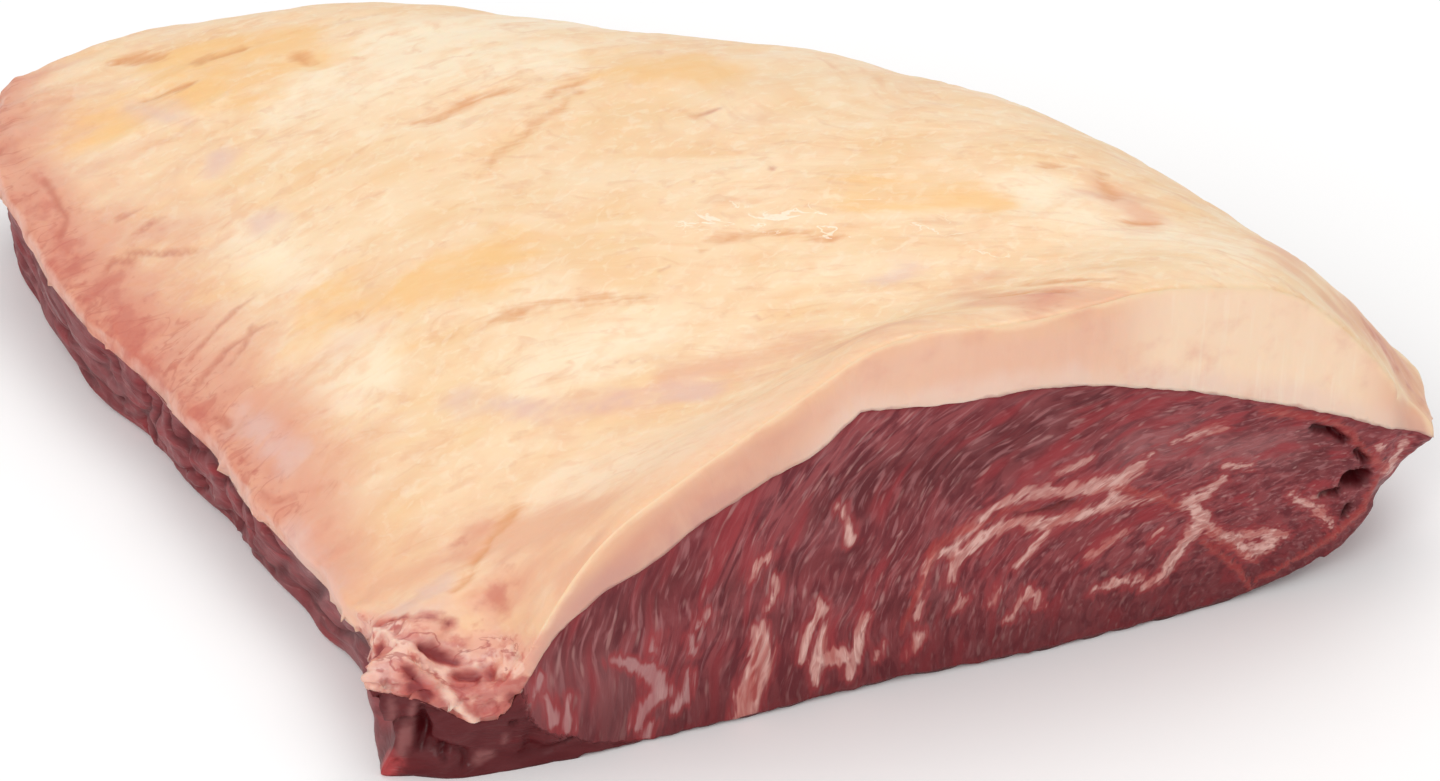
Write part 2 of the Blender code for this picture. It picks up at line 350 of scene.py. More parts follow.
# Marbling on the cut face as strokes of (x, z, half width) in mm
marbling = [
    [(46, 19, 0.5), (45, 9, 0.8)],
    [(39, 26, 0.3), (36, 18, 0.6)],
    [(40, 20, 0.4), (42, 12, 0.9)],
    [(57, 27, 0.8), (62, 24, 1.2), (67, 20, 1.6), (69, 14, 2.0), (65, 11, 1.6), (62, 6, 0.8)],
    [(76, 29, 0.4), (77, 24, 0.6)],
    [(76, 18, 0.6), (74, 11, 1.0), (72, 8, 0.5)],
    [(80, 34, 0.7), (78, 31, 0.4)],
    [(68, 31, 0.3), (67, 27, 0.4)],
    [(66, 5, 0.9), (65, 2, 0.6)],
    [(94, 27, 1.4), (94, 20, 2.6), (93, 13, 3.3), (91, 7, 3.6), (90, 1, 3.0)],
    [(109, 31, 0.4), (110, 27, 0.9), (107, 24, 0.7), (106, 19, 0.9), (105, 14, 0.4)],
    [(111, 24, 0.4), (110, 18, 1.2), (109, 12, 1.5), (109, 5, 0.7)],
    [(110, 13, 2.0), (118, 12, 1.8)],
    [(122, 23, 0.4), (120, 18, 1.1), (119, 12, 1.5), (118, 5, 0.7)],
    [(98, 40, 0.7), (98, 37, 0.7), (96, 32, 0.4)],
    [(96, 47, 0.3), (93, 45, 0.6), (92, 42, 0.3)],
    [(114, 57, 0.4), (116, 52, 0.6), (117, 46, 0.5)],
    [(126, 13, 0.3), (125, 9, 0.4)],
    [(136, 14, 0.5), (133, 8, 0.4)],
    [(135, 19, 0.4), (136, 28, 0.6), (137, 35, 0.9), (144, 38, 1.2), (153, 47, 0.9), (162, 49, 1.1),
     (172, 48, 1.3), (180, 47, 1.9), (186, 46, 2.2), (192, 49, 1.1), (196, 52, 0.4)],
    [(143, 28, 0.7), (145, 35, 1.9), (151, 39, 2.2), (156, 41, 1.4), (161, 42, 1.2), (166, 40, 1.5),
     (171, 39, 1.8), (181, 40, 1.2), (190, 40, 1.0), (199, 39, 0.4)],
    [(186, 46, 1.2), (186, 42, 1.0), (182, 40, 0.7)],
    [(160, 28, 0.4), (164, 32, 0.9), (169, 37, 0.7), (172, 39, 0.5)],
    [(180, 26, 0.3), (185, 29, 0.7), (190, 31, 0.3)],
    [(170, 53, 0.3), (174, 54, 0.6), (179, 55, 0.3)],
    [(202, 54, 0.3), (209, 55, 0.6), (216, 55, 0.3)],
    [(159, 13, 0.6), (162, 17, 0.8), (164, 20, 1.1), (166, 18, 0.8), (167, 15, 0.5)],
    [(156, 23, 0.5), (154, 18, 0.3)],
    [(147, 22, 0.4), (145, 19, 0.4)],
    [(182, 15, 0.4), (188, 16, 1.1), (195, 15, 0.6)],
    [(200, 29, 0.4), (197, 27, 0.4)],
    [(216, 39, 0.6), (211, 36, 1.6), (206, 35, 1.9)],
    [(208, 34, 1.4), (211, 28, 2.1), (208, 24, 1.7), (205, 20, 2.1), (201, 15, 1.3), (196, 12, 0.4)],
    [(211, 28, 1.0), (215, 24, 1.3), (220, 20, 1.3), (226, 14, 1.7), (230, 15, 1.8), (234, 18, 0.9)],
    [(219, 21, 1.0), (226, 20, 1.1), (232, 19, 1.3), (236, 17, 0.6)],
    [(236, 29, 0.4), (240, 26, 0.9), (244, 23, 1.0), (247, 19, 0.5), (249, 16, 0.4)],
    [(242, 27, 0.4), (246, 27, 0.5)],
    [(224, 41, 0.4), (217, 43, 0.5)],
    [(261, 37, 0.9), (262, 36, 0.8)],
    [(269, 35, 0.8), (265, 28, 1.9), (266, 27, 1.1)],
]
# Holes and gaps in the cut face, the same way
gaps = [
    [(252.5, 29.5, 2.2), (256.5, 28.5, 2.5)],
    [(245, 27, 0.6), (250, 26.5, 0.9)],
    [(253, 21, 0.7), (252, 19, 0.5)],
    [(241, 48, 0.7), (246, 46, 0.8), (251, 41.5, 0.6)],
    [(254, 38, 0.6), (257, 34, 0.8)],
    [(160, 44, 0.1), (167, 43.5, 0.2), (175, 44, 0.1)],
]
# Red strands that lie on the cut face, the same way
strands = [
    [(150, 43, 1.1), (144, 42, 1.3), (139, 39, 1.4), (137, 33, 1.0), (135, 27, 0.9), (131, 15, 0.4)],
    [(187, 45, 1.2), (192, 42, 0.9), (200, 38, 0.9), (204, 35, 0.8)],
    [(93, 24, 0.3), (92, 15, 0.5), (93, 6, 0.4)],
    [(236, 53, 0.6), (243, 50, 0.9), (247, 48, 1.2), (252, 43, 1.1), (254, 40, 1.0), (258, 35, 1.2),
     (264, 29, 1.4)],
    [(226, 57, 0.6), (232, 54.5, 1.5), (237, 53, 0.6)],
    [(261, 27, 0.9), (258, 19, 1.1), (249, 13, 1.0), (240, 9, 0.8), (228, 5, 0.5)],
    [(213, 25, 0.4), (218, 20, 0.7), (222, 16, 0.8), (228, 11, 0.6)],
    [(143, 34, 0.3), (150, 42, 0.5), (157, 46, 0.4), (166, 44, 0.5), (178, 43, 0.4)],
    [(212, 22, 0.7), (222, 11, 0.8), (227, 3, 0.6)],
]
# What shows at the torn corner and on the long wall: (x, y, z, half width) in mm
cavities = [
    [(11, -5.7, 21, 0.5), (11.6, -4.7, 15, 1.6), (10, -5.5, 9, 1.0)],
    [(14.8, -7.5, 8.8, 0.9), (16, -7.5, 6, 0.4)],
    [(32, -9.9, 13.5, 0.8)],
    [(-10.7, 106, 19.8, 1.8), (-10.7, 104, 23, 1.2)],
]
tendons = [
    [(9.6, -5.2, 22, 0.7), (6.4, -3.1, 9.4, 0.8), (5.7, -3.6, 6.4, 1.2)],
    [(4.9, -2.5, 24, 0.8), (4.9, -2, 17, 0.9)],
    [(24, -9, 5.4, 1.2), (26, -9, 5.6, 1.0)],
    [(29.7, -9.4, 8.6, 0.8), (30, -9.4, 10, 0.6)],
]


def makeLean():
    bm = quadCopy("lean", lean["cutStarts"])
    evenUnderside(bm)
    bm.normal_update()
    keepEdges(bm, lambda e: max(v.co.z for v in e.verts) < 2 * mm, 1)
    piece = subdivided(bm, "leanMeat", 2)
    refine(piece, lambda f: f.material_index == 1, lean["cutNet"])
    refine(piece, lambda f: not f.material_index and f.normal.x < -0.3 and abs(f.normal.z) < 0.75,
           lean["wallNet"])
    places, normals, cut, outer = readMesh(piece)
    x, y, z = places.T
    cutEdge = np.interp(z, lean["borderHeights"], lean["borderPlaces"]) + 2.5 * lumps(places, 9, 3, 2)
    onCut = cut * smoothStep(-1.5, 1.5, x - cutEdge)
    hidden = (1 - cut) * smoothStep(0.2, 0.5, normals[:, 2])
    fromSeam = distanceTo(places, (cut > 0) & (outer > 0) & (normals[:, 2] > 0.15))
    calm = smoothStep(0, 2.5, fromSeam)

    # Fibre coordinates. On the cut: along the arcs, across them, and into the meat. On the wall: along it
    centreX, centreZ = lean["grainCentre"]
    bend = 4 * lumps(places, 45, 5, 2) + 1.2 * lumps(places, 13, 7)
    across = np.cbrt(lean["grainFlatness"] * abs(x - centreX) ** 3 + (z - centreZ) ** 3) + bend
    along = lean["grainRadius"] * np.arctan2(z - centreZ, x - centreX)
    front, back = 1 - smoothStep(50, 110, y), smoothStep(140, 190, y)
    middle = 1 - front - back
    wallAcross = z + front * 0.25 * (y - 50) + 2.5 * lumps(places, (20, 14, 9), 6, 2)
    onArcs = np.stack([along, across, y * 0.4], 1)
    onWall = np.stack([y - 0.8 * x + 0.5 * z, wallAcross, x * 0.3], 1)
    grain = np.where(onCut[:, None] > 0.5, onArcs, onWall)

    wobble = np.stack([lumps(places, 5, 11), lumps(places, 5, 12)], 1) * 0.5
    flat = places[:, [0, 2]] + wobble
    far = 99 * (1 - cut)
    fromMarbling = strokeDistance(flat, marbling) + far
    fromStrand = strokeDistance(flat, strands) + far
    fromGap = strokeDistance(flat, gaps) + far
    fromCavity = strokeDistance(places + 0.8 * lumps(places, 4, 13)[:, None], cavities)
    fromTendon = strokeDistance(places, tendons)

    fibre = lumps(onArcs, (15, 2.6, 8), 21, 2) * lean["fibreRelief"]
    fibre += lumps(onArcs, (30, 6, 20), 22) * lean["bundleRelief"]
    fibre += (1 - smoothStep(-0.6, 0.5, fromMarbling)) * lean["marblingRise"]
    fibre += (1 - smoothStep(-0.8, 0.8, fromStrand)) * lean["strandRise"]
    wall = back * lumps(places, (8, 50, 3.4), 31, 2) * lean["ridgeRelief"]
    wall += middle * lumps(places, (9, 10, 6), 32, 3) * lean["wallRelief"]
    wall += front * lumps(onWall, (40, 8, 4), 33, 2) * lean["wallRelief"]
    furrow = back * furrows(places, (9, 60, 4.2), 34, 0.13) + middle * furrows(places, (10, 12, 7), 35, 0.12)
    furrow += front * furrows(onWall, (45, 9, 5), 36, 0.13)
    outside = (1 - onCut) * (1 - hidden) * smoothStep(0.5, 4, z) * smoothStep(0, 2, fromSeam)
    # the far sides are calmer than the left wall
    outside *= 0.4 + 0.6 * smoothStep(0.3, -0.3, normals[:, 0])
    furrow *= outside

    rise = onCut * ((fibre - 0.1) * calm - 0.05) + outside * wall - furrow * lean["wallFurrow"]
    rise += (1 - smoothStep(-0.8, 0.9, fromTendon)) * lean["tendonRise"]
    rise -= np.clip(0.6 - fromCavity, 0, 2.6) * lean["cavityDepth"]
    places = places + normals * rise[:, None]
    places[:, 1] += np.clip(0.5 - fromGap, 0, 2.8) * lean["gapDepth"]
    places[:, 2] = np.maximum(places[:, 2], 0)
    movePoints(piece, places)
    keepValues(piece, {
        "grain": grain * mm,
        "marbling": fromMarbling,
        "strand": fromStrand,
        "gap": np.minimum(fromGap, fromCavity),
        "tendon": fromTendon,
        "redTip": strokeDistance(places, [lean["redTip"]]),
        "furrow": furrow,
        "seam": fromSeam,
        "low": z,
        "dark": strokeDistance(flat, lean["darkAreas"]),
        "light": strokeDistance(flat, lean["lightAreas"]),
        "leftSide": smoothStep(88, 74, x),
        "torn": 1 - onCut,
        # painted shade: marks the torn front corner, which the wall colour paints dark
        "corner": (1 - onCut) * (1 - smoothStep(-3, 14, y)),
    })
    markCut(piece)
    shadeSkin(piece)
    return piece


def rawMuscle():
    # Raw beef muscle: bundles of fibres about 2 mm wide in brownish maroon, with flecks and seams of
    # pale pink fat edged in brighter red, and a wet skin that gives a soft sheen. Off the cut it is
    # darker, under greyish membranes, with deep red furrows painted darker still as shade.
    material, tree, shader = newMaterial("rawMuscle")
    grain = addNode(tree, "Attribute", out="Vector", attribute_name="grain")
    place = addNode(tree, "TexCoord", out="Object")
    mask = readValues(tree, ["marbling", "strand", "gap", "tendon", "redTip", "furrow", "seam", "low",
                             "dark", "light", "leftSide", "torn", "corner"])

    bundles = pattern(tree, grain, (11, 2.6, 10), 4, distortion=1.0)
    fine = pattern(tree, grain, (6, 1.1, 6), 2, away=40, distortion=0.6)
    groups = pattern(tree, grain, (50, 11, 30), away=10)
    redness = pattern(tree, grain, (22, 4, 20), away=90)
    flecks = pattern(tree, grain, (6, 1.3, 5), 1, away=150)
    wisps = pattern(tree, grain, (6, 1.1, 4), away=60)
    grit = pattern(tree, place, (2.4, 2.4, 2.4), away=20)
    blotches = pattern(tree, place, (11, 11, 7), 3, away=30)

    cutColour = paint(tree, "#66222a", [
        (bundles, 0.36, 0.62, 1.0, "#934548"),
        (groups, 0.42, 0.66, 0.5, "#71282d"),
        # darker meat, and in its two thin strokes painted shade in faint cracks
        (sway(tree, mask["dark"], groups, 5), 7.0, -5.0, 0.6, "#561c20"),
        (sway(tree, mask["light"], groups, 6), 9.0, -6.0, 0.45, "#a16a6a"),
        (blotches, 0.5, 0.72, 0.3, "#9b5a5c"),
        (fine, 0.5, 0.72, 0.5, "#ad7273"),
        (redness, 0.52, 0.70, 0.7, "#983036"),
        (flecks, 0.62, 0.78, 0.5, "#b98984"),
        # painted shade: the cut face turns darker towards the table
        (sway(tree, mask["low"], groups, 8), 34.0, 2.0, 0.6, "#54191e"),
        (sway(tree, mask["low"], grit, 1.5), 4.0, 0.5, 0.6, "#762125"),
        (sway(tree, mask["seam"], wisps, 1.2), 2.4, 0.4, 0.4, "#7a2428"),
    ])
    marblingEdge = sway(tree, sway(tree, mask["marbling"], wisps, 1.0), flecks, 0.9)
    fatTint = paint(tree, "#bf8880", [
        (wisps, 0.35, 0.6, 1.0, "#dbaea4"),
        (fine, 0.5, 0.64, 0.55, "#aa5f59"),
        (redness, 0.48, 0.66, 0.6, "#ae514a"),
        (mask["leftSide"], 0.0, 1.0, 0.7, "#a06f72"),
    ])
    strandTint = paint(tree, "#9c3836", [(wisps, 0.4, 0.65, 0.8, "#c0645a")])
    cutColour = paint(tree, cutColour, [
        (marblingEdge, 2.6, 0.6, 0.6, "#9c383b"),
        (marblingEdge, 0.8, -0.6, 0.95, fatTint),
        (sway(tree, mask["strand"], wisps, 1.2), 0.9, -0.8, 0.75, strandTint),
    ])
    wallColour = paint(tree, "#6e282c", [
        (bundles, 0.3, 0.7, 0.8, "#8a4144"),
        (blotches, 0.42, 0.68, 0.6, "#9a5658"),
        (redness, 0.5, 0.68, 0.7, "#942f33"),
        (flecks, 0.64, 0.78, 0.35, "#b5837f"),
        # painted shade: the furrows are painted near-black red, darker than their own deep red
        (sway(tree, mask["furrow"], blotches, 0.4), 0.1, 1.1, 0.8, "#4b1015"),
        # painted shade: the torn front corner is painted dark
        (mask["corner"], 0.0, 1.0, 0.75, "#4c0e13"),
        (sway(tree, mask["tendon"], blotches, 2.0), 1.6, -1.2, 0.55, "#a06664"),
        (sway(tree, mask["redTip"], grit, 1.0), 3.0, -1.0, 0.85, "#b8494a"),
    ])
    colour = paint(tree, cutColour, [
        (mask["torn"], 0.0, 1.0, 1.0, wallColour),
        # painted shade: holes, gaps and cavities are painted near-black red
        (sway(tree, mask["gap"], blotches, 0.7), 1.6, -0.6, 0.95, "#48090f"),
    ])
    tree.links.new(colour, shader.inputs["Base Color"])

    height = addNode(tree, "Mix", {"Factor": 0.4, "A": bundles, "B": fine}, data_type="FLOAT")
    bump = addNode(tree, "Bump", {"Height": height, "Strength": 0.7, "Distance": 0.0007})
    tree.links.new(bump, shader.inputs["Normal"])
    gloss = addNode(tree, "MapRange", {"Value": groups, "From Min": 0.3, "From Max": 0.7, "To Min": 0.3,
                                       "To Max": 0.5})
    tree.links.new(gloss, shader.inputs["Roughness"])
    shader.inputs["IOR"].default_value = 1.4
    shader.inputs["Specular IOR Level"].default_value = 0.3
    shader.inputs["Subsurface Weight"].default_value = 0.12
    shader.inputs["Subsurface Radius"].default_value = (1.0, 0.25, 0.2)
    shader.inputs["Subsurface Scale"].default_value = 0.0015
    return material


fatCap = {
    "cutStarts": 31,  # x where the knife-cut band of fat begins
    "bandNet": 1.3,  # the longest edges on the band, beside the left rim and round the torn corner
    "rimNet": 2.2,
    "cornerNet": 1.1,
    "rimEnds": 22,  # x as far as the net is finer beside the left rim
    "cornerMiddle": 14,  # x of the torn corner, and how far round it the net is finer
    "cornerReach": 34,
    # the border of the torn corner, as x places and the y of the border there
    "tornPlaces": [3, 8, 13, 21, 32, 38],
    "tornEdges": [30, 22, 13, 9, 6, -4],
    "pillowRelief": 0.7,
    "rippleRelief": 0.4,
    "rimRelief": 1.0,
    "veinDepth": 0.5,
    "creaseDepth": 1.1,
    "cordRise": 1.1,
    "cornerRelief": 0.8,
    "sinks": 0.6,
    "cover": 0.7,  # the least fat over the meat, looked after where the meat is nearer than coverReach
    "coverReach": 4,
    "pinkWidth": 26,
}
# Marks on the fat seen from above, as strokes of (x, y, half width) in mm
fatMarks = {
    "pale": [[(44, 222, 8), (104, 198, 8)], [(54, 236, 8), (78, 232, 10), (120, 226, 6)],
             [(56, 24, 6), (84, 6, 5)], [(190, 60, 5), (225, 12, 5)],
             [(12, 172, 4), (22, 150, 3)], [(20, 120, 4), (28, 96, 5)], [(60, 70, 4), (88, 62, 4)]],
    "gold": [[(16, 262, 9), (44, 250, 8)], [(20, 240, 5), (46, 240, 3)], [(26, 128, 6), (56, 112, 6)],
             [(114, 182, 4), (142, 165, 5)], [(-16, 250, 4), (-4, 250, 4)], [(150, 78, 1), (178, 62, 2)]],
    "brown": [[(64, 186, 0.4), (72, 186, 1.5), (86, 188, 1.8), (103, 187, 0.5)],
              [(95, 176, 0.4), (106, 180, 1.0)], [(31, 258, 1.2), (20, 260, 1.0)],
              [(15, 249, 1.0), (3, 250, 0.8)], [(0, 276, 1.0), (11, 271, 1.3)],
              [(44, 243, 1.2), (46, 238, 1.0)], [(24, 126, 1.0), (30, 121, 0.6)], [(129, 143, 1.2)],
              [(105, 172, 0.1), (80, 160, 0.3), (70, 150, 0.1)], [(204, 72, 0.7), (197, 70, 0.8)],
              [(43, 97, 0.1), (60, 91, 0.2), (72, 87, 0.3), (92, 73, 0.2)],
              [(110, 83, 0.1), (124, 79, 0.4), (140, 66, 0.1)], [(209, 64, 0.6), (207, 52, 1.2)],
              [(205, 39, 1.2), (211, 36, 0.8)], [(44, 29, 0.1), (34, 22, 0.2), (24, 13, 0.1)],
              [(158, 20, 0.2), (168, 12, 0.5), (176, 4, 0.3)], [(170, 20, 0.2), (186, 5, 0.2)]],
    "peach": [[(50, -8, 3), (43, 4, 3)], [(31, 24, 2), (18, 28, 3), (10, 31, 2)],
              [(90, 46, 2), (118, 30, 4)], [(60, 54, 1), (84, 36, 2)], [(34, 26, 5), (58, 4, 4)],
              [(158, 26, 4), (160, 8, 5), (166, -2, 4)], [(168, 2, 4), (182, -4, 2)],
              [(120, 24, 4), (126, 2, 4)], [(206, 62, 3), (212, 40, 3)], [(240, 20, 3), (258, 60, 4)],
              [(252, 8, 3), (268, 20, 8), (278, 6, 8)],
              [(0, 100, 8), (4, 40, 6)]],
    "lilac": [[(41, 74, 0.4), (58, 55, 0.9), (74, 44, 1.0), (94, 33, 0.8)],
              [(-5, 113, 3), (-1, 103, 4), (2, 90, 3)],
              [(14, 211, 3)], [(18, 176, 3)], [(11, 232, 1.0), (6, 238, 1.2), (-2, 251, 0.8)],
              [(143, 45, 0.6), (151, 45, 0.9)], [(8, 20, 1.2), (11, 18, 1.5), (14, 12, 1.2), (20, 8.5, 0.9)],
              [(18, 5, 1.6), (20, 4, 1.4)], [(22, 18, 2.0)], [(-4, 66, 3), (2, 40, 2)]],
    "red": [[(-31, 238, 1.5), (-32, 216, 2.5), (-30, 197, 4)], [(-25, 184, 4), (-20, 158, 5)],
            [(-24, 158, 3), (-19, 138, 2)], [(-16, 128, 1.5), (-12, 116, 1)], [(-10, 196, 1), (4, 190, 0.5)],
            [(262, 12, 1.0), (271, 15, 2.0), (277, 11, 1.6)], [(165, -3, 1.2)], [(170, 6, 0.3)],
            [(35, 6, 1.0), (34, 9, 0.6)], [(30, 30, 1.0)]],
    "vein": [[(-12, 130, 0.2), (-7, 134, 0.5), (-2, 137, 0.5), (4, 137, 0.3), (11, 136, 0.1)],
             [(-12, 141, 0.2), (-2, 146, 0.4), (9, 151, 0.1)],
             [(-3, 131, 0.2), (3, 134, 0.4), (6, 140, 0.1)],
             [(-30, 234, 0.4), (-29, 224, 0.6), (-28, 216, 0.6), (-31, 210, 0.3)],
             [(-24, 188, 0.3), (-20, 192, 0.5), (-16, 188, 0.3)], [(-16, 206, 0.3), (-8, 206, 0.2)],
             [(-16, 192, 0.4), (-8, 184, 0.4), (1, 178, 0.2)], [(-6, 83, 0.3), (-4, 78, 0.4), (1, 76, 0.3)],
             [(130, 142, 0.8), (134, 141, 0.5)], [(99, 81, 0.7)], [(116, 110, 0.5)], [(135, 103, 0.6)],
             [(-10, 117, 0.6), (-8, 112, 0.4)], [(78, 58, 0.2), (86, 52, 0.3)],
             [(112, 50, 0.2), (122, 44, 0.2)]],
    # web: where pale shreds lie, with painted glints on them
    "web": [[(108, 96, 5), (146, 70, 9)], [(162, 58, 5), (176, 34, 3)]],
}
# Raised folds of fat at the torn corner, then creases in it: (x, y, z, half width) in mm. A half width
# below 0 leaves a crease that is only faint.
fatCords = [
    [(4.7, 16.6, 29.5, 0.6), (8.9, 5.2, 32.9, 0.9), (13.9, -0.1, 29.6, 1.0), (19.2, -1.4, 25.5, 0.9),
     (24.3, -1.8, 25.7, 0.6)],
    [(8.6, -2, 31.6, 0.8), (12.6, -4.6, 27.6, 0.9), (17.5, -7.3, 23, 1.0), (22.5, -9.8, 17.2, 1.0)],
    [(25.1, -1.7, 26, 1.0)], [(25.3, -5.9, 24.9, 0.7)], [(30, -6.2, 26.6, 0.9)],
]
fatCreases = [
    [(6, 17.3, 29.9, -0.6), (9.5, 14.9, 31.9, -0.3), (14.3, 10.5, 35, -0.6), (20.2, 8.8, 35.1, -0.6),
     (21.4, 7.2, 33.9, -0.1)],
    [(14, 2.6, 31.8, 0.4), (16, 2.2, 30.4, 0.9), (18.5, 1.6, 28.5, 0.8), (21, 0.4, 27, 0.4)],
    [(20.5, -3, 25, 0.5), (22.4, -3.2, 24.8, 0.8), (24.7, -5, 24.8, 0.8)],
    [(8, -3.6, 31.4, 0.4), (10.4, -5.5, 26.4, 1.1), (12.6, -6.1, 24.2, 0.8)],
    [(9, -5, 26.5, 1.2)], [(15, 2, 30, 0.8)], [(32, -10, 22.5, 0.8)], [(28, -5, 25.6, 0.8)],
    [(3, 5, 30.4, 0.7), (4.9, 7.8, 30.3, 0.6)],
]


def coverMeat(places, normals, share, meat):  # moves fat out where it would be too thin over the meat
    tree = BVHTree.FromPolygons([placeOf(v.co) for v in meat.data.vertices],
                                [f.vertices[:] for f in meat.data.polygons])
    for i in np.flatnonzero(share > 0.05):
        nearest, normal, _, _ = tree.find_nearest(places[i], fatCap["coverReach"])
        if nearest is None or normal.dot(normals[i]) < 0.5:  # the rim of the cut stays where it is
            continue
        short = fatCap["cover"] - (Vector(places[i]) - nearest).dot(normal)
        places[i] += share[i] * max(short, 0) * np.array(normal)


def makeFatCap(meat):
    bm = quadCopy("fat_cap", fatCap["cutStarts"])
    keepEdges(bm, lambda e: sum(f.normal.z for f in e.link_faces) > 0.3, -1)
    piece = subdivided(bm, "fatCap", 2)
    refine(piece, lambda f: f.material_index == 1, fatCap["bandNet"])

    def reach(face):  # how far a face of the upper side is from the torn corner, and from the left side
        x, y, _ = placeOf(face.calc_center_median())
        onTop = not face.material_index and face.normal.z > -0.2
        return (math.hypot(x - fatCap["cornerMiddle"], y), x) if onTop else (999, 999)

    refine(piece, lambda f: reach(f)[1] < fatCap["rimEnds"], fatCap["rimNet"])
    refine(piece, lambda f: reach(f)[0] < fatCap["cornerReach"], fatCap["cornerNet"])
    places, normals, cut, outer = readMesh(piece)
    x, y, z = places.T
    under = smoothStep(0.3, 0.8, -normals[:, 2]) * (1 - cut)
    top = 1 - under
    aboveSeam = distanceTo(places, (cut > 0) & (outer > 0) & (normals[:, 2] < -0.2))
    belowRidge = distanceTo(places, (cut > 0) & (outer > 0) & (normals[:, 2] > 0.2))
    rowDepth = 6
    rows = np.round(y / rowDepth).astype(int)
    leftEdge = np.array([x[rows == row].min() for row in range(rows.min(), rows.max() + 1)])
    fromLeft = x - np.interp(y / rowDepth, np.arange(rows.min(), rows.max() + 1), leftEdge)

    # Streaks run in long bows over the fat: along, across and down
    bow = x + 10
    bow = 0.3 * bow - 0.9 * (np.clip(bow, 0, 90) ** 2 / 180 + np.maximum(bow - 90, 0))
    across = y - bow * (1 - 0.9 * smoothStep(110, 190, y)) + 5 * lumps(places, 50, 61, 2)
    streak = np.stack([x, across, z * 0.5], 1)

    wobble = np.stack([lumps(places, 7, 62, 2), lumps(places, 7, 63, 2)], 1)
    fromMarks = {name: strokeDistance(places[:, :2] + wobble * (0.6 if name == "vein" else 2.0), strokes)
                 for name, strokes in fatMarks.items()}
    fromCord = strokeDistance(places + 0.5 * wobble[:, [0, 1, 0]], fatCords)
    fromCrease = strokeDistance(places + 0.5 * wobble[:, [1, 0, 1]], fatCreases)

    offCut = smoothStep(0, 5, np.where(cut > 0, 0, belowRidge))
    tornEdge = np.interp(x, fatCap["tornPlaces"], fatCap["tornEdges"]) + 1.5 * wobble[:, 0]
    atCorner = smoothStep(tornEdge + 4, tornEdge - 8, y) * (1 - smoothStep(33, 42, x))
    pink = np.exp(-np.maximum(fromLeft, 0) / fatCap["pinkWidth"]) * smoothStep(-20, 110, y)
    pink *= 1 - 0.2 * smoothStep(195, 245, y)
    pillow = lumps(places, (34, 15, 20), 41, 3) * fatCap["pillowRelief"]
    ripple = lumps(streak, (14, 4, 8), 43, 2) * fatCap["rippleRelief"] * smoothStep(3, 14, fromLeft)
    rimLumps = lumps(places, (6, 9, 6), 44, 3) * fatCap["rimRelief"] * (1 - smoothStep(4, 16, fromLeft))
    rise = offCut * (pillow + ripple + rimLumps)
    rise -= (1 - smoothStep(-0.5, 1.0, fromMarks["vein"])) * fatCap["veinDepth"]
    rise -= (1 - smoothStep(-1.5, 2.0, fromMarks["brown"])) * fatCap["veinDepth"] * 1.4
    torn = atCorner * smoothStep(0, 2, aboveSeam)
    rise += torn * lumps(places, (9, 5, 4), 49, 3) * fatCap["cornerRelief"]
    rise -= torn * furrows(places, (12, 6, 5), 50, 0.1) * fatCap["cornerRelief"]
    rise += (1 - smoothStep(-1.0, 1.2, fromCord)) * fatCap["cordRise"]
    rise -= (1 - smoothStep(-0.8, 1.6, fromCrease)) * fatCap["creaseDepth"]
    rise *= top * (1 - cut)
    rise += cut * 0.1 * lumps(places, (3, 8, 14), 51) * smoothStep(0, 2, aboveSeam)
    places = places + normals * rise[:, None]
    ragged = 1 + 0.7 * lumps(places, 4, 52, 2) + 0.5 * lumps(places, 15, 53)
    overlap = cut * (1 - smoothStep(0, 3, aboveSeam)) * ragged
    places[:, 2] -= (under + overlap) * fatCap["sinks"]
    coverMeat(places, normals, top * (1 - cut), meat)
    movePoints(piece, places)
    # web, corner and cornerDrop stay well below 0 away from their places, so that no noise added to them in
    # the material reaches past them
    fromMarks["web"] = 1.6 * smoothStep(6, -6, fromMarks["web"]) - 0.6
    keepValues(piece, {
        **fromMarks,
        "streak": streak * mm,
        "cord": fromCord,
        "crease": fromCrease,
        "pink": pink,
        "corner": 1.7 * atCorner - 0.7,
        "cornerDrop": 1.7 * atCorner * smoothStep(36, 22, z) - 0.7,
        "fromLeft": fromLeft,
        "frontness": 1 - smoothStep(-20, 110, y + 0.35 * x),
        "rightness": smoothStep(88, 120, x) * (1 - smoothStep(258, 274, x)),
        "creamy": smoothStep(172, 206, x) * (1 - smoothStep(248, 268, x)),
        "aboveSeam": aboveSeam,
        "belowRidge": belowRidge,
    })
    markCut(piece)
    shadeSkin(piece)
    return piece


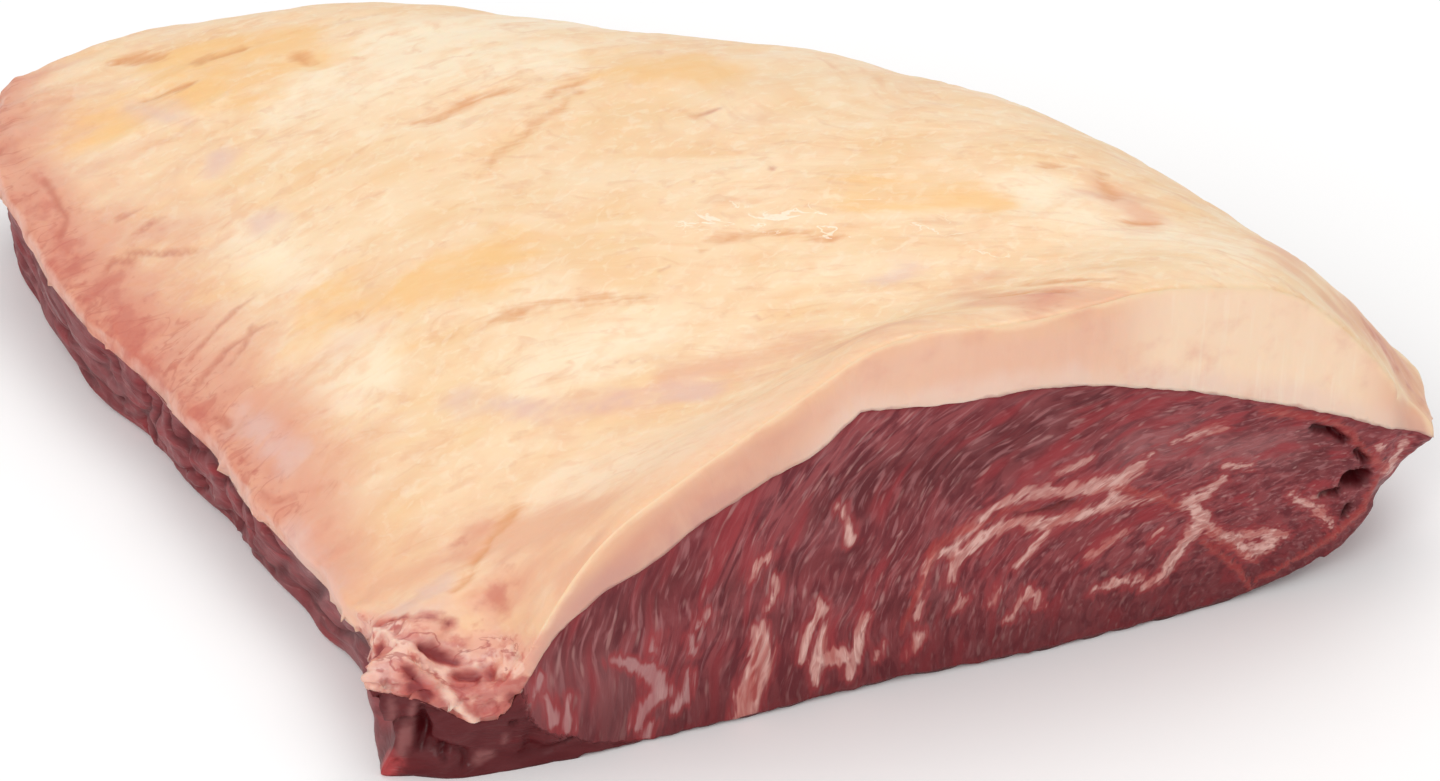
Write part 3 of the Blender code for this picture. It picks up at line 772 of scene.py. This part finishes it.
def beefFat():
    # Raw beef fat: waxy, cream to pale yellow, streaked where the skin was pulled off, with golden and
    # pink patches and thin red veins. The knife-cut band is pink beige under a thin bright rim of painted
    # highlight.
    material, tree, shader = newMaterial("beefFat")
    place = addNode(tree, "TexCoord", out="Object")
    streak = addNode(tree, "Attribute", out="Vector", attribute_name="streak")
    mask = readValues(tree, [*fatMarks, "cord", "crease", "pink", "corner", "cornerDrop", "fromLeft",
                             "frontness", "rightness", "creamy", "aboveSeam", "belowRidge", "knifeCut"])

    bands = pattern(tree, streak, (50, 12, 20), 3, distortion=0.6)
    streaks = pattern(tree, streak, (20, 4, 10), 4, away=30, distortion=0.5)
    clouds = pattern(tree, place, (34, 26, 30), 3, away=10)
    mottle = pattern(tree, place, (9, 7, 8), 4, away=50)
    grit = pattern(tree, place, (2.4, 2, 2), 2, away=90)
    haze = pattern(tree, streak, (24, 12, 12), 4, away=30, distortion=0.5)
    folds = pattern(tree, place, (5, 4, 3.4), 3, away=60)
    dapple = pattern(tree, place, (4, 3.4, 4), 3, away=120, distortion=0.8)
    lines = pattern(tree, place, (1.6, 20, 22), 3)
    shredsAndGlints = pattern(tree, streak, (15, 9, 9), 4, away=80, distortion=0.7)
    shredsAndGlints = thinLines(tree, shredsAndGlints, sway(tree, mask["web"], mottle, 0.6), 0.022)
    creases = pattern(tree, place, (15, 9, 7), 4, away=110, distortion=0.6)
    tornLines = thinLines(tree, creases, sway(tree, mask["corner"], mottle, 0.5), 0.035)
    deep = addNode(tree, "MapRange", {"Value": mask["pink"], "From Min": 0.2, "From Max": 0.8,
                                      "To Min": -0.5})
    dashes = pattern(tree, streak, (8, 5, 7), 4, away=200, distortion=0.6)
    wrinkles = thinLines(tree, pattern(tree, streak, (30, 8, 12), 3, away=170, distortion=0.8),
                         sway(tree, deep, mottle, 0.4), 0.035)
    seams = thinLines(tree, pattern(tree, streak, (46, 20, 16), 3, away=140, distortion=0.3),
                      addNode(tree, "MapRange", {"Value": haze, "From Min": 0.45, "From Max": 0.65}), 0.022)

    topColour = paint(tree, "#f4d2aa", [
        (clouds, 0.4, 0.62, 0.8, "#f0c897"),
        (bands, 0.42, 0.66, 0.6, "#f7debc"),
        # pale cream patches, in part painted soft highlights
        (sway(tree, mask["pale"], bands, 9), 12.0, -5.0, 0.8, "#fae7ca"),
        (mottle, 0.46, 0.7, 0.4, "#eec095"),
        (streaks, 0.5, 0.74, 0.3, "#edb987"),
        (dapple, 0.5, 0.7, 0.4, "#f9e6ca"),
        (dashes, 0.55, 0.72, 0.35, "#e2ab83"),
        (mask["frontness"], 0.1, 0.9, 0.6, "#ecba98"),
        (sway(tree, mask["gold"], haze, 12), 10.0, -6.0, 0.7, "#f3c07c"),
        (sway(tree, mask["peach"], haze, 8), 8.0, -5.0, 0.7, "#e2a888"),
        (sway(tree, mask["pink"], haze, 0.16), 0.1, 0.72, 0.9, "#df9f86"),
        (sway(tree, mask["pink"], mottle, 0.4), 0.45, 1.35, 0.7, "#ce7f69"),
        (sway(tree, mask["pink"], grit, 0.5), 0.8, 1.5, 0.6, "#b8594a"),
        (wrinkles, 0.0, 0.03, 0.45, "#c06a57"),
        (sway(tree, mask["lilac"], haze, 4), 5.0, -3.0, 0.65, "#e0bbb0"),
        (sway(tree, sway(tree, mask["red"], haze, 6), mottle, 3), 7.0, -5.0, 0.55, "#d3806b"),
        (sway(tree, sway(tree, mask["red"], folds, 5), haze, 4), 2.5, -5.0, 0.4, "#bd5a4e"),
        (sway(tree, mask["corner"], mottle, 0.5), -0.3, 0.7, 0.85, "#e5a993"),
        (sway(tree, mask["corner"], folds, 0.9), 0.5, 1.4, 0.8, "#c96b5f"),
        # torn corner: pale cream dapples, in part painted highlights
        (sway(tree, mask["corner"], dapple, 0.9), 0.8, 1.5, 0.7, "#f3cdba"),
        (sway(tree, mask["corner"], haze, 0.9), 0.7, 1.5, 0.5, "#dcb8b4"),
        (sway(tree, mask["cornerDrop"], folds, 0.7), 0.1, 0.9, 0.75, "#b5544e"),
        (tornLines, 0.0, 0.03, 0.6, "#a8433f"),
        (seams, 0.0, 0.02, 0.2, "#e0a074"),
        (sway(tree, mask["brown"], streaks, 2.6), 2.8, -2.2, 0.75, "#d98f55"),
        (sway(tree, mask["vein"], mottle, 1.0), 1.5, -0.8, 0.55, "#c0654f"),
        # pale torn shreds, with painted glints on them
        (shredsAndGlints, 0.0, 0.016, 0.7, "#fcefdb"),
        (sway(tree, mask["cord"], folds, 0.8), 1.2, -0.8, 0.7, "#f4d3bf"),
        (sway(tree, mask["crease"], folds, 1.4), 3.0, 0.3, 0.7, "#b9564e"),
        (sway(tree, mask["crease"], folds, 0.8), 1.3, -0.3, 0.9, "#84262a"),
        (sway(tree, mask["fromLeft"], mottle, 0.8), 1.4, 0.3, 0.6, "#e6b5a3"),
    ])
    lines = addNode(tree, "Math", {0: lines, 1: mask["creamy"]}, operation="MULTIPLY")
    seamTint = paint(tree, "#cd988b", [(mask["rightness"], 0.0, 1.0, 1.0, "#eccab8")])
    bandColour = paint(tree, "#dba087", [
        (mask["rightness"], 0.0, 1.0, 1.0, "#e9b89d"),
        (sway(tree, mask["belowRidge"], haze, 2.5), 6.5, 0.5, 0.8, "#ecbc96"),
        (mask["creamy"], 0.0, 1.0, 0.95, "#f8d8b9"),
        (sway(tree, mask["aboveSeam"], haze, 2.5), 8.0, 1.0, 0.75, seamTint),
        (haze, 0.45, 0.7, 0.3, "#efc6a8"),
        (mottle, 0.5, 0.75, 0.3, "#dfa48d"),
        (lines, 0.5, 0.75, 0.25, "#fbe9d4"),
        (sway(tree, mask["aboveSeam"], mottle, 1.0), 0.5, -0.3, 0.5, "#b77772"),
        # painted highlight: a thin bright line along the ridge of the cut band
        (sway(tree, mask["belowRidge"], mottle, 0.8), 2.2, 0.0, 0.7, "#f6d6b2"),
        (sway(tree, mask["corner"], mottle, 0.5), -0.5, 0.5, 0.85, "#dfa28f"),
    ])
    colour = paint(tree, topColour, [
        (mask["knifeCut"], 0.0, 1.0, 1.0, bandColour),
        (sway(tree, mask["corner"], folds, 0.7), -0.1, 0.8, 0.9, topColour),
    ])
    tree.links.new(colour, shader.inputs["Base Color"])

    height = addNode(tree, "Mix", {"Factor": 0.5, "A": streaks, "B": mottle}, data_type="FLOAT")
    bump = addNode(tree, "Bump", {"Height": height, "Strength": 0.4, "Distance": 0.0009})
    tree.links.new(bump, shader.inputs["Normal"])
    gloss = addNode(tree, "MapRange", {"Value": mottle, "From Min": 0.3, "From Max": 0.7, "To Min": 0.36,
                                       "To Max": 0.55})
    tree.links.new(gloss, shader.inputs["Roughness"])
    shader.inputs["IOR"].default_value = 1.45
    shader.inputs["Subsurface Weight"].default_value = 0.3
    shader.inputs["Subsurface Radius"].default_value = (1.0, 0.5, 0.3)
    shader.inputs["Subsurface Scale"].default_value = 0.004
    return material


def finishPiece(piece, material, node):
    piece.data.materials.clear()
    piece.data.materials.append(material)
    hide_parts(node)
    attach(piece, "root")
    triangles = sum(len(f.vertices) - 2 for f in piece.data.polygons)
    print(piece.name, "has", triangles, "triangles")


leanMeat = makeLean()
print("lean shaped")
fatLayer = makeFatCap(leanMeat)
print("fat cap shaped")
finishPiece(leanMeat, rawMuscle(), "lean")
finishPiece(fatLayer, beefFat(), "fat_cap")
